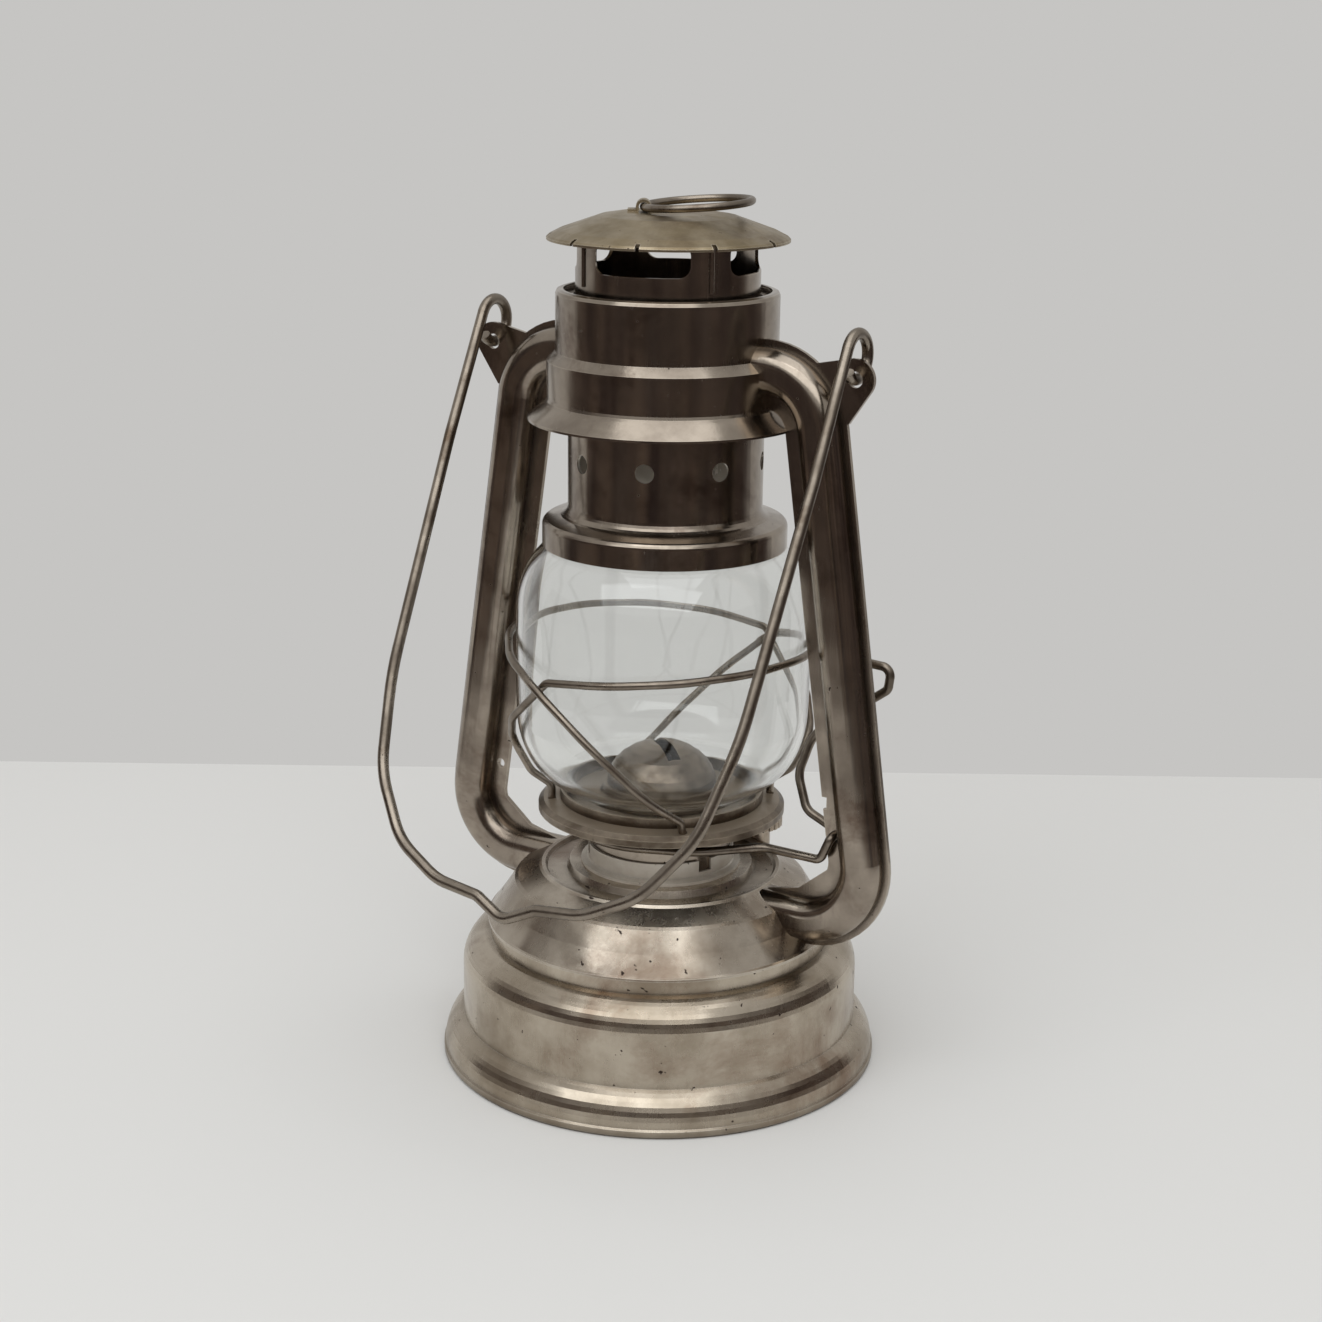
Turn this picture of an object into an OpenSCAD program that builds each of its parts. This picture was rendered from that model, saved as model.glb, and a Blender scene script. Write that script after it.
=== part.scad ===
// A small tubular hurricane lantern of plated sheet steel, standing on its foot.
// Millimetres, +Z up, the origin is the centre of the foot on the floor.
// The air tubes stand on the X axis, the filler and the wick knob are at the back.

/* [Tank] */
// Radius of the foot's rolled rim
foot_r = 63.3; // [62:0.1:64.5]
// Radius of the tank wall
wall_r = 57.4; // [56.4:0.2:59]
// Height of the flared foot
foot_h = 12.1; // [11:0.1:14]
// Height of the straight wall
wall_h = 15.2; // [10:0.2:26]
// Height of the rounded shoulder
shoulder_h = 9.1; // [8.6:0.1:9.6]
// Height of the air dome
dome_h = 16.3; // [15.8:0.1:16.8]

/* [Burner] */
// Radius of the bright burner collar
collar_r = 21; // [20.6:0.1:21.4]
// Height of the collar above the dome
collar_h = 6; // [5:0.5:6.5]
// Height of the flame cone
cone_h = 15.3; // [13:0.1:17]
// Width of the flat wick
wick_w = 10; // [7:0.5:11]
// Thickness of the flat wick
wick_t = 2.4; // [1.8:0.1:2.8]
// Direction of the wick knob from +X
knob_turn = 143; // [136:1:150]
// Direction of the filler from +X
filler_turn = 78; // [72:1:84]

/* [Globe] */
// Largest radius of the glass globe
globe_r = 41.5; // [40.5:0.1:42]
// Height of the globe's upright sides, between its two rounds
globe_side_h = 29; // [28:0.5:30]
// Wall of the glass
glass_t = 1.8; // [1.4:0.1:2.2]
// Diameter of the guard wires
guard_d = 2.2; // [1.8:0.1:2.4]
// Diameter of the lever wire
lever_d = 2.5; // [2.2:0.1:2.7]

/* [Hood] */
// Radius of the lower drum
drum_r = 33; // [32.6:0.1:33.6]
// Height of the lower drum
drum_low_h = 12; // [11.5:0.1:12.5]
// Height of the upper drum
drum_top_h = 16.8; // [15:0.2:22]
// Width of the ring space for the spring, from the upper drum's outside to the chimney's upper tube
spring_room = 5.4; // [5:0.1:5.8]
// Radius of the cap
cap_r = 33; // [30:0.5:36]
// Diameter of the cap's wire ring, centre to centre
ring_round = 29.2; // [24:0.2:32]

/* [Bail] */
// Diameter of the bail wire
bail_d = 3.1; // [2.6:0.1:3.2]
// Reach of the bail below its eyes
bail_drop = 163.4; // [160:0.2:172]
// Forward lean of the hanging bail
bail_lean = 26; // [24:0.5:32]

/* [Hidden] */
sheet_t = 0.8;
neck_h = 4;
clear = 0.3;
slack = 0.08;
round_fn = 72;
wire_fn = 16;
tiny = 0.01;
hair = 0.02;
lap = 0.1;

// Heights from the floor up
shoulder_z = foot_h + wall_h;
neck_z = shoulder_z + shoulder_h;
seam_z = neck_z + neck_h;
dome_z = seam_z + dome_h;
deck_z = seam_z - sheet_t;
base_z = dome_z + 0.9;
spindle_z = base_z + 7.9;
sleeve_z = base_z + 13.5;
plate_z = base_z + 18.8;
cone_z = base_z + 20.4;
globe_mid_z = plate_z + 43.6;
bell_z = globe_mid_z + 31.6;
flange_z = bell_z + 38.4;
skirt_z = bell_z + 35.1;
drum_z = skirt_z + 4.2;
step_z = drum_z + drum_low_h;
upper_z = step_z + 2.5;
hood_z = upper_z + drum_top_h;
lid_z = hood_z - 3 * sheet_t;
cap_z = hood_z + 13.2;
plateau_z = cap_z + 7.4;

// Radii
seam_r = wall_r - 7.4;
neck_r = seam_r - 0.6;
dome_r = seam_r - 0.5 - (dome_h - 1.3);
bell_r = globe_r - 7.3;
upper_r = drum_r - 2.4;
crown_r = upper_r - spring_room;
chimney_r = crown_r + 1.9;
sleeve_r = collar_r + 0.6;
gallery_r = collar_r - 3.8;
globe_foot_r = globe_r - 14.3;
lip_r = globe_foot_r + 1.2;
plate_r = lip_r + 7;
foot_hole_r = lip_r + 3.2;

// Air tubes: two bends and a leaning leg in the XZ plane
tube_wide = 9.7;
tube_out = 9.1;
tube_body_wide = 6;
tube_body_r = 4.4;
tube_body_rise = 1.8;
tube_body_out = 1.2;
tube_sheet = 0.6;
top_bend_r = 15.5;
top_bend_x = drum_r - 1;
top_bend_z = skirt_z;
low_bend_r = 16.5;
low_bend_x = seam_r - 1.7;
low_bend_z = seam_z + 27.6;
bend_gap = norm([low_bend_x - top_bend_x, top_bend_z - low_bend_z]);
leg_lean = atan2(low_bend_x - top_bend_x, top_bend_z - low_bend_z)
    + asin((low_bend_r - top_bend_r) / bend_gap);
leg_length = sqrt(pow(bend_gap, 2) - pow(low_bend_r - top_bend_r, 2));
ear_x = top_bend_x + 26.2;
ear_z = top_bend_z + 16.3;
ear_r = 5.5;
ear_hole_r = bail_d / 2 + 2 * clear;

// Bail eyes turn on the axis above the ear holes
eye_r = 6;
eye_turn = 296;
bail_skew = 1;
bail_z = ear_z + eye_r;

// Guard wires
guard_r = globe_r + 0.7 + guard_d / 2;
guard_z = globe_mid_z + 4.8;

// Lift lever
pivot_x = low_bend_x + 8.3;
pivot_z = low_bend_z + 8.3;
hoop_r = 25;
hoop_z = sleeve_z - clear - lever_d / 2;

// Cap ring
ring_d = 2.1;
ring_turn = 31.8;
ring_back = 6.8;
staple_r = 1.3;
ring_z = plateau_z + staple_r;
ring_lift = 4;

// Chimney spring
spring_d = 1.2;
spring_low = flange_z + sheet_t;
spring_high = lid_z;
spring_turns = 4;
spring_rings = 8;
spring_sides = 6;
spring_r = (crown_r + clear + spring_d / 2) / cos(180 / spring_rings);

// Wick and filler
spur_r = 3.2;
spindle_r = 1.2;
spindle_out = wick_t / 2 + 0.25 + spur_r;
filler_out = seam_r - 11;
filler_r = 6;
filler_z = base_z + 4.2;

plated = "#8c8478";
bright = "#cfc9bd";
dark = "#5b534a";

function arc(cx, cy, r, from, to, steps) = [
    for (k = [0:steps])
        let (a = from + (to - from) * k / steps)
            [cx + r * cos(a), cy + r * sin(a)]];
function along(a, b) = (b - a) / norm(b - a);
function left_of(a, b) = let (d = along(a, b)) [-d.y, d.x];
// Outline moved sideways by the sheet's thickness, with mitred corners
function inset(p, t) = [
    for (i = [0:len(p) - 1])
        let (
            n1 = left_of(p[max(i - 1, 0)], p[max(i, 1)]),
            n2 = left_of(p[min(i, len(p) - 2)], p[min(i + 1, len(p) - 1)]))
            p[i] + t * (n1 + n2) / (1 + n1 * n2)];
function turned(p) = [for (i = [len(p) - 1:-1:0]) p[i]];
function polar(a, r, z, bend) = [r * cos(a), r * sin(a), z, bend];
function point(p) = [p.x, p.y, p.z];

// A pressed round sheet: its outside outline runs from the bottom to the top
module pressed(p, t = sheet_t) {
    rotate_extrude($fn = round_fn) polygon(concat(p, turned(inset(p, t))));
}

// The space inside an outline that runs from the bottom to the top
module inside(p) {
    last = p[len(p) - 1];
    rotate_extrude($fn = round_fn) polygon(concat([[0, p[0].y]], p, [[0, last.y]]));
}

// A flat ring
module washer(outer, inner, z, h) {
    translate([0, 0, z]) difference() {
        cylinder(h = h, r = outer, $fn = round_fn);
        translate([0, 0, -1]) cylinder(h = h + 2, r = inner, $fn = round_fn);
    }
}

module rounded(w, h, r) {
    square([w - 2 * r, h], center = true);
    square([w, h - 2 * r], center = true);
    for (x = [-1, 1], y = [-1, 1])
        translate([x * (w / 2 - r), y * (h / 2 - r)]) circle(r = r, $fn = 24);
}

// A straight length of wire
module rod(a, b, d) {
    v = b - a;
    translate(a) rotate([0, acos(v.z / norm(v)), atan2(v.y, v.x)])
        cylinder(h = norm(v), d = d, $fn = wire_fn);
}

// A wire through the points, bent round each one by the radius in its fourth value;
// the bends are a hair thicker, for a clean joint
module bent_wire(p, d) {
    last = len(p) - 1;
    toward = [for (i = [0:last - 1]) along(point(p[i]), point(p[i + 1]))];
    half = [for (i = [0:last]) i == 0 || i == last ? 0 : acos(toward[i - 1] * toward[i]) / 2];
    trim = [for (i = [0:last]) i == 0 || i == last ? 0 : p[i][3] * tan(half[i])];
    for (i = [0:last - 1])
        rod(point(p[i]) + toward[i] * (i == 0 ? 0 : trim[i] - lap),
            point(p[i + 1]) - toward[i] * (i == last - 1 ? 0 : trim[i + 1] - lap), d);
    for (i = [1:last - 1]) {
        start = point(p[i]) - toward[i - 1] * trim[i];
        inward = (toward[i] - toward[i - 1]) / norm(toward[i] - toward[i - 1]);
        centre = point(p[i]) + inward * p[i][3] / cos(half[i]);
        ex = (start - centre) / p[i][3];
        ey = toward[i - 1];
        ez = cross(ex, ey);
        multmatrix([
            [ex.x, ey.x, ez.x, centre.x],
            [ex.y, ey.y, ez.y, centre.y],
            [ex.z, ey.z, ez.z, centre.z],
            [0, 0, 0, 1]])
            rotate_extrude(angle = 2 * half[i], $fn = 48)
                translate([p[i][3], 0]) circle(d = d + 2 * hair, $fn = wire_fn);
    }
}

// Outlines shared by neighbours
rim_h = 3.4;
foot_turn = 2 * atan((foot_r - 0.5 - wall_r) / (foot_h - rim_h));
foot_round = (foot_h - rim_h) / sin(foot_turn);
tank_outline = concat(
    [[foot_r - 2.2, 0], [foot_r - 0.6, 0], [foot_r, 0.7], [foot_r, 2.2], [foot_r - 0.5, 2.7]],
    arc(wall_r - foot_round * cos(foot_turn), rim_h, foot_round, 0, foot_turn, 8),
    arc(wall_r - shoulder_h, shoulder_z, shoulder_h, 0, 80, 10),
    [[neck_r, neck_z], [neck_r, seam_z], [seam_r - 3.5, seam_z]]);
knee_r = dome_r + 7.3;
knee_z = dome_z - 3.7;
dome_outline = [
    [seam_r + 0.1, seam_z], [seam_r + 0.1, seam_z + 0.7], [seam_r - 0.4, seam_z + 1.1],
    [(seam_r + knee_r) / 2, (seam_z + knee_z) / 2], [knee_r + 0.5, knee_z - 0.7], [knee_r - 0.5, knee_z],
    [dome_r + 0.7, dome_z - 0.7], [dome_r, dome_z], [dome_r - 1, dome_z], [dome_r - 1.8, dome_z - 1],
    [collar_r + 6.2, dome_z - 1], [collar_r + 5.4, base_z], [collar_r - 2.4, base_z]];
drum_outline = [
    [drum_r + 5.2, skirt_z], [drum_r + 5.2, skirt_z + 0.6], [drum_r + 0.9, drum_z + 0.3],
    [drum_r + 0.2, drum_z + 1], [drum_r, drum_z + 1.8], [drum_r, step_z], [upper_r, upper_z],
    [upper_r, hood_z - 1.2], [upper_r - 0.4, hood_z - 0.3], [upper_r - 1.3, hood_z], [upper_r - 2.2, hood_z]];
cap_outline = [
    [cap_r, cap_z], [cap_r, cap_z + 0.6], [cap_r - 0.6, cap_z + 1.2], [cap_r - 3.6, cap_z + 2.7],
    [cap_r - 9, cap_z + 4.6], [cap_r - 14.4, cap_z + 6.5], [cap_r - 20, plateau_z], [0, plateau_z]];

// Flat outline of the right air tube's flange in the XZ plane
function flange_outline() = let (top_z = top_bend_z + top_bend_r, low_z = low_bend_z - low_bend_r) concat(
    [[upper_r - 8, top_z + tube_out]],
    arc(top_bend_x, top_bend_z, top_bend_r + tube_out, 90, leg_lean, 12),
    arc(low_bend_x, low_bend_z, low_bend_r + tube_out, leg_lean, -90, 14),
    [[dome_r + 0.6, low_z - tube_out], [dome_r + 0.6, dome_z - 0.6], [low_bend_x - 2.3, dome_z + 2]],
    arc(low_bend_x, low_bend_z, low_bend_r - tube_wide, -18, leg_lean, 4),
    arc(top_bend_x, top_bend_z, top_bend_r - tube_wide, leg_lean, 90, 8),
    [[upper_r - 8, top_z - tube_wide]]);

// Ear plate above the bend, for the eye of the bail
module ear_outline() {
    translate([ear_x, ear_z]) circle(r = ear_r, $fn = 40);
    polygon([[ear_x - 13, ear_z + 3], [ear_x - 1, ear_z + ear_r], [ear_x + 4.6, ear_z - 3],
        [ear_x - 1.6, ear_z - 12], [ear_x - 9, ear_z - 12]]);
}

module flange() {
    rotate([90, 0, 0]) linear_extrude(tube_sheet) {
        polygon(flange_outline());
        ear_outline();
    }
}

// Section of the pressed half of the tube's body, open toward the other half
module body_section(r, open) {
    flat = tube_body_wide - tube_body_r;
    for (side = [-1, 1])
        translate([tube_body_out + side * flat, tube_body_rise]) circle(r = r, $fn = 40);
    translate([tube_body_out - flat, -open]) square([2 * flat, open + tube_body_rise + r]);
    translate([tube_body_out - flat - r, -open]) square([2 * (flat + r), open + tube_body_rise]);
}

module front_section(r, open) {
    intersection() {
        body_section(r, open);
        translate([-20, -open]) square(40);
    }
}

// Front half of the tube's round body along its path; the bends are a hair thicker, for a clean joint
module tube_body(r, open = 0) {
    top_z = top_bend_z + top_bend_r;
    low_z = low_bend_z - low_bend_r;
    translate([top_bend_x + lap, 0, top_z]) rotate([0, -90, 0])
        linear_extrude(top_bend_x - upper_r + 8) mirror([0, 1]) front_section(r, open);
    translate([top_bend_x, 0, top_bend_z]) rotate([90, 0, 0])
        rotate_extrude(start = leg_lean, angle = 90 - leg_lean, $fn = round_fn)
            translate([top_bend_r, 0]) front_section(r + hair, open);
    translate([low_bend_x, 0, low_bend_z]) rotate([0, -leg_lean, 0]) translate([low_bend_r, 0, -lap])
        linear_extrude(leg_length + 2 * lap) mirror([0, 1]) front_section(r, open);
    translate([low_bend_x, 0, low_bend_z]) rotate([90, 0, 0])
        rotate_extrude(start = -90, angle = 90 + leg_lean, $fn = round_fn)
            translate([low_bend_r, 0]) front_section(r + hair, open);
    translate([dome_r + 0.6, 0, low_z]) rotate([0, 90, 0])
        linear_extrude(low_bend_x - dome_r - 0.6 + lap) mirror([0, 1]) front_section(r, open);
}

// The whole right tube as a solid, to open the dome and the drum for it
module tube_solid() {
    for (side = [0, 1])
        mirror([0, side, 0]) {
            flange();
            tube_body(tube_body_r);
        }
}

// One pressed half of the right air tube
module tube_half() {
    difference() {
        union() {
            flange();
            tube_body(tube_body_r);
        }
        tube_body(tube_body_r - sheet_t, 1);
        inside(inset(dome_outline, sheet_t));
        inside([[drum_r - sheet_t, skirt_z], [drum_r - sheet_t, step_z - 0.3],
            [upper_r - sheet_t, upper_z - 0.3], [upper_r - sheet_t, hood_z]]);
        translate([ear_x, 0, ear_z]) rotate([90, 0, 0])
            cylinder(h = 10, r = ear_hole_r, center = true, $fn = 32);
        translate([pivot_x, 0, pivot_z]) rotate([90, 0, 0])
            cylinder(h = 10, r = lever_d / 2 + slack, center = true, $fn = 32);
        translate([pivot_x - 5, 0, pivot_z + 8.9]) cube([4.6, 3, 3.4], center = true);
    }
}

module tank_shell() {
    color(plated) pressed(tank_outline);
}

module tank_bottom() {
    color(dark) pressed([[0, 2.6], [40, 2.6], [42, sheet_t], [foot_r - 1.1, sheet_t]]);
}

module tank_deck() {
    color(dark) difference() {
        washer(neck_r - sheet_t - slack, collar_r - 2.4, deck_z - sheet_t, sheet_t);
        at_filler() cylinder(h = 200, r = filler_r, center = true, $fn = 40);
    }
}

module dome() {
    color(plated) difference() {
        pressed(dome_outline);
        tube_solid();
        mirror([1, 0, 0]) tube_solid();
        at_filler() cylinder(h = 200, r = filler_r, center = true, $fn = 40);
    }
}

module at_filler() {
    rotate(filler_turn) translate([filler_out, 0, 0]) children();
}

module at_wick() {
    rotate(knob_turn) children();
}

// Neck ring with slots for the burner's lugs
module burner_collar() {
    slots = 3;
    slot_low = base_z + 2.6;
    color(bright) difference() {
        rotate_extrude($fn = round_fn) polygon([
            [collar_r - 3.4, deck_z - sheet_t], [collar_r - 2.4, deck_z - sheet_t], [collar_r - 2.4, base_z],
            [collar_r + 2, base_z], [collar_r + 2, base_z + 0.8], [collar_r + 0.4, base_z + 1.2],
            [collar_r, base_z + 1.5], [collar_r, base_z + collar_h], [collar_r - 0.8, base_z + collar_h],
            [collar_r - 0.8, base_z + 1.8], [collar_r - 3.4, base_z + 1.8]]);
        for (k = [0:slots - 1])
            rotate(360 / slots * k - 21) translate([collar_r - 3, -2.2, slot_low]) cube([6, 4.4, collar_h]);
    }
}

module spindle_bore(r) {
    at_wick() translate([0, spindle_out, spindle_z]) rotate([0, 90, 0]) cylinder(h = 60, r = r, $fn = 32);
}

module wick_slot(grow) {
    at_wick() translate([0, 0, 60]) cube([wick_w + grow, wick_t + grow, 120], center = true);
}

module burner_body() {
    body_r = collar_r - 0.9;
    color(plated) difference() {
        pressed([[0, base_z + 1.8], [body_r, base_z + 1.8], [body_r, base_z + 12.4],
            [gallery_r, base_z + 14.4], [gallery_r, cone_z]]);
        wick_slot(1.8);
        spindle_bore(spindle_r + slack);
        for (k = [0:23])
            rotate(k * 15 + 7.5) translate([gallery_r - 3, 0, base_z + 16.6]) rotate([0, 90, 0])
                cylinder(h = 6, d = 1.6, $fn = 16);
    }
}

module wick_tube() {
    color(bright) difference() {
        at_wick() translate([-wick_w / 2 - 0.9, -wick_t / 2 - 0.9, base_z - 7])
            cube([wick_w + 1.8, wick_t + 1.8, cone_z + 8 - base_z + 7]);
        wick_slot(0.8);
        at_wick() translate([0, spindle_out, spindle_z])
            cube([8, 2 * spur_r + 1.2, 2 * spur_r + 1.2], center = true);
    }
}

module burner_cone() {
    base_r = gallery_r - 0.3;
    ring_h = 2.4;
    crown_h = (cone_h - ring_h) / sin(11 * 7);
    color(bright) difference() {
        pressed(concat([[base_r, cone_z], [base_r, cone_z + ring_h]],
            [for (k = [0:7]) [(base_r - 1) * cos(11 * k), cone_z + ring_h + crown_h * sin(11 * k)]],
            [[0, cone_z + cone_h]]));
        at_wick() translate([0, 0, cone_z + cone_h]) cube([20, wick_t + 1.4, 2 * 8], center = true);
    }
}

module filler_neck() {
    low = deck_z - sheet_t;
    color(plated) at_filler() washer(filler_r, filler_r - sheet_t, low, filler_z - low);
}

module right_tube_front() {
    color(dark) tube_half();
}

module right_tube_back() {
    color(dark) mirror([0, 1, 0]) tube_half();
}

module left_tube_front() {
    color(dark) mirror([1, 0, 0]) tube_half();
}

module left_tube_back() {
    color(dark) rotate(180) tube_half();
}

module hood_drum() {
    color(dark) difference() {
        pressed(drum_outline);
        tube_solid();
        mirror([1, 0, 0]) tube_solid();
    }
}

module hood_lid() {
    color(dark) washer(upper_r - sheet_t - 0.1, crown_r + 0.55, lid_z, sheet_t);
}

module globe_plate() {
    floor_z = plate_z;
    color(plated) difference() {
        union() {
            pressed([[gallery_r + 1, floor_z], [lip_r + 1, floor_z], [plate_r - 1.8, floor_z - 0.4],
                [plate_r - 0.8, floor_z - 1.2], [plate_r - 0.8, floor_z - 2.7]]);
            washer(lip_r + sheet_t, lip_r, floor_z + 0.4, 3.2);
        }
        for (a = [38, 133, 218, 313])
            rotate(a) translate([foot_hole_r, 0, floor_z])
                cylinder(h = 9, d = guard_d + 0.2, center = true, $fn = 20);
    }
}

module plate_sleeve() {
    color(plated) pressed([[sleeve_r + 4.7, sleeve_z], [sleeve_r, sleeve_z], [sleeve_r, plate_z]], -sheet_t);
}

// A barrel: a narrow foot, a long round out to upright sides, and a round in under the bell
module globe() {
    swell = 0.2;
    low_in = 16;
    high_in = 18;
    high_z = bell_z - 18.6;
    low_z = high_z - globe_side_h;
    low_h = low_z - plate_z - 5.6;
    high_h = (bell_z + 0.4 - high_z) / sin(60);
    outline = concat(
        [[globe_foot_r, plate_z + sheet_t], [globe_foot_r, low_z - low_h - 1],
            [globe_foot_r + 0.9, low_z - low_h + 0.1]],
        [for (a = [12:13:77]) [globe_r - low_in * (1 - sin(a)), low_z - low_h * cos(a)]],
        [for (k = [0:4]) [globe_r + swell * sin(45 * k), low_z + globe_side_h * k / 4]],
        [for (a = [12:12:60]) [globe_r - high_in * (1 - cos(a)), high_z + high_h * sin(a)]],
        [[globe_r - high_in / 2, bell_z + 6.4]]);
    color("lightblue", 0.35) pressed(outline, glass_t);
}

// From the front foot up the diagonal, round behind the tube, across and down the riser
module guard_wire() {
    corner = 76;
    steps = 4;
    across_r = guard_r / cos((180 - corner) / steps / 2);
    across = [for (k = [0:steps - 1]) let (f = k / steps)
        polar(180 - (180 - corner) * f, across_r, guard_z - 5.5 * f * f, 30)];
    bent_wire(concat(
        [polar(313, foot_hole_r, plate_z - 0.4, 0), polar(311, foot_hole_r + 1.8, plate_z + 4.1, 3),
            polar(297, globe_r - 0.5, globe_mid_z - 31.5, 20),
            polar(277, globe_r + 4.2, globe_mid_z - 16, 30),
            polar(256, globe_r + 5.8, globe_mid_z - 2.7, 20),
            polar(230.7, guard_r + 1.7, globe_mid_z + 1.8, 30),
            polar(205.3, guard_r + 1.2, guard_z - 0.6, 30)],
        across,
        [polar(corner, guard_r + 0.7, guard_z - 5.5, 4), polar(51, globe_r + 2.9, globe_mid_z - 15.7, 12),
            polar(36, globe_r + 1.5, globe_mid_z - 25, 10), polar(36, globe_r - 4.1, globe_mid_z - 35.2, 5),
            polar(38, foot_hole_r, globe_mid_z - 39, 3), polar(38, foot_hole_r, plate_z - 0.4, 0)]), guard_d);
}

module guard_wire_a() {
    color(dark) guard_wire();
}

module guard_wire_b() {
    color(dark) rotate(180) guard_wire();
}

module chimney_bell() {
    holes = 8;
    color(plated) difference() {
        union() {
            pressed(concat([[bell_r, bell_z]], arc(bell_r - 2, bell_z + 5.6, 2, 0, 60, 4),
                arc(chimney_r + 3.4, bell_z + 11.4, 3.4, 245, 180, 5), [[chimney_r, flange_z + tiny]]));
            washer(chimney_r + 1.5, crown_r, flange_z, sheet_t);
        }
        for (k = [0:holes - 1])
            rotate(360 / holes * k - 70.2) translate([chimney_r - 5, 0, bell_z + 24.7]) rotate([0, 90, 0])
                cylinder(h = 10, d = 5.2, $fn = 24);
    }
}

module chimney_crown() {
    window_h = 8.7;
    window_w = 2 * crown_r * sin(31.5);
    color(dark) difference() {
        union() {
            washer(crown_r, crown_r - sheet_t, flange_z - 3, plateau_z - flange_z + 3);
            for (k = [0:3])
                rotate(90 * k + 58.8) translate([crown_r, 0, hood_z + 1.6])
                    cylinder(h = 12, d = 1.4, $fn = 16);
        }
        for (k = [0:3])
            rotate(90 * k + 13.8) translate([crown_r - 8, 0, hood_z + 5.6 + window_h / 2]) rotate([90, 0, 90])
                linear_extrude(16) rounded(window_w, window_h, 3);
        rotate_extrude($fn = round_fn)
            polygon(concat(inset(cap_outline, sheet_t), [[0, plateau_z + 9], [cap_r, plateau_z + 9]]));
    }
}

module cap() {
    notches = 10;
    color(plated) difference() {
        pressed(cap_outline);
        for (k = [0:notches - 1])
            rotate(360 / notches * k - 72.5) translate([cap_r, 0, cap_z]) cube([3.4, 1.2, 6], center = true);
    }
}

// Strap bent over the ring's wire, drawn across the hinge
module ring_staple() {
    foot = 3;
    length = 5;
    color(plated) rotate(ring_turn) translate([-ring_back, length / 2, plateau_z]) rotate([90, 0, 0])
        linear_extrude(length) {
            difference() {
                union() {
                    translate([0, staple_r]) circle(r = staple_r + sheet_t, $fn = 32);
                    translate([-staple_r - sheet_t, 0]) square([2 * (staple_r + sheet_t), staple_r]);
                    translate([-staple_r - foot, 0]) square([2 * (staple_r + foot), sheet_t]);
                }
                translate([0, staple_r]) circle(r = staple_r, $fn = 32);
                translate([-staple_r, -1]) square([2 * staple_r, staple_r + 1]);
                translate([-50, -100]) square(100);
            }
        }
}

module ring() {
    color(bright) rotate(ring_turn) translate([-ring_back, 0, ring_z]) rotate([0, -ring_lift, 0])
        translate([ring_round / 2, 0, 0])
            rotate_extrude($fn = 48) translate([ring_round / 2, 0]) circle(d = ring_d, $fn = wire_fn);
}

// A point of the bail: across, and down along its plane, with the grip a little to one side
function bail_point(u, v, bend) = [
    u - bail_skew * max(v, 0) / bail_drop,
    -v * sin(bail_lean) - eye_r * cos(bail_lean),
    bail_z - v * cos(bail_lean) + eye_r * sin(bail_lean),
    bend];

// One wire with a closed eye at each end and a hook rest in the middle of the grip
module bail() {
    leg = [[ear_x, -lap, 0], [ear_x, 36, 70], [ear_x - 2.2, bail_drop - 58, 90],
        [ear_x - 7.5, bail_drop - 31, 30], [ear_x - 19.6, bail_drop - 13.6, 22],
        [ear_x - 34.6, bail_drop - 5.8, 18], [9.5, bail_drop - 4.2, 5]];
    other = [for (p = turned(leg)) [-p.x, p.y, p.z]];
    path = [for (p = concat(leg, [[0, bail_drop + 0.4, 5]], other)) bail_point(p.x, p.y, p.z)];
    color(plated) {
        bent_wire(path, bail_d);
        for (side = [-1, 1])
            translate([side * ear_x, 0, bail_z]) rotate([90, 0, -90])
                rotate_extrude(start = bail_lean, angle = eye_turn, $fn = 60)
                    translate([eye_r, 0]) circle(d = bail_d + 2 * hair, $fn = wire_fn);
    }
}

// Thumb loop, leg behind the right tube, bow, pin through the tube's flange, and the hoop under the sleeve
module lift_lever() {
    side = 2.6;
    behind = 9;
    hoop = [for (k = [0:4]) polar(-38 - 60 * k, hoop_r / cos(30), hoop_z, hoop_r - 1)];
    color(plated) bent_wire(concat(
        [[pivot_x + 3, behind, pivot_z + 48, 0], [pivot_x + 10.8, behind, pivot_z + 47.6, 2.6],
            [pivot_x + 10, behind, pivot_z + 41.4, 2.6], [pivot_x - 12, behind - 1, pivot_z + 25, 9],
            [pivot_x - 14.5, 4.5, pivot_z + 14, 8], [pivot_x - 10.5, side, pivot_z + 4.6, 5],
            [pivot_x, side, pivot_z, 1.4], [pivot_x, -side, pivot_z, 1.4],
            [pivot_x - 2.6, -side - 0.8, hoop_z, 2.4], [hoop_r + 11, -side - 0.8, hoop_z, 6]],
        hoop), lever_d);
}

module wick_spindle() {
    teeth = 10;
    color(bright) at_wick() translate([0, spindle_out, spindle_z]) rotate([0, 90, 0]) {
        translate([0, 0, -5]) cylinder(h = 46, r = spindle_r, $fn = 24);
        difference() {
            translate([0, 0, -2.5]) cylinder(h = 5, r = spur_r, $fn = 32);
            for (k = [0:teeth - 1])
                rotate(360 / teeth * k) translate([spur_r, 0, 0])
                    cylinder(h = 8, d = 1.1, center = true, $fn = 16);
        }
    }
}

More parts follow.
